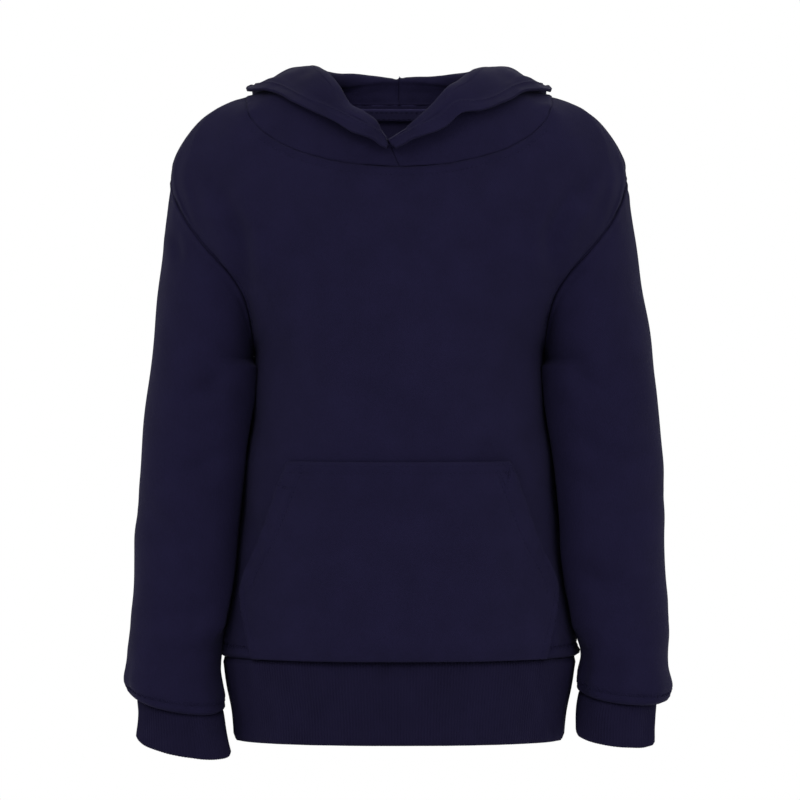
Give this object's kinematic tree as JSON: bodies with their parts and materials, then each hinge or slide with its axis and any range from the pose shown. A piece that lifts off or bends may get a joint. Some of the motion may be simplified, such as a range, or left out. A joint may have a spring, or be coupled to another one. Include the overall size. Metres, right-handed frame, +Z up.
{
  "type": "toddler_hoodie",
  "caption": "toddler's dark navy pullover hoodie in fleece-backed knit, hollow and filled out as worn, with its hood lying back",
  "frame": {"origin": "middle of the wearer's shoulders at the base of the neck, level with the inner ends of the shoulder seams", "axes": "+Z up along the wearer's spine, -Y the way the wearer faces, +X the wearer's left"},
  "size_m": [0.3418, 0.1925, 0.4382],
  "materials": {
    "fleece": "matt knit, brushed inside",
    "rib": "matt vertical rib knit",
    "tape": "matt jersey tape"
  },
  "bodies": {
    "root": {"front": "fleece", "back": "fleece", "sleeve_left": "fleece", "sleeve_right": "fleece", "hood_left": "fleece", "hood_right": "fleece", "pocket": "fleece", "cuff_left": "rib", "cuff_right": "rib", "waistband": "rib", "neck_tape": "tape"}
  },
  "joints": []
}
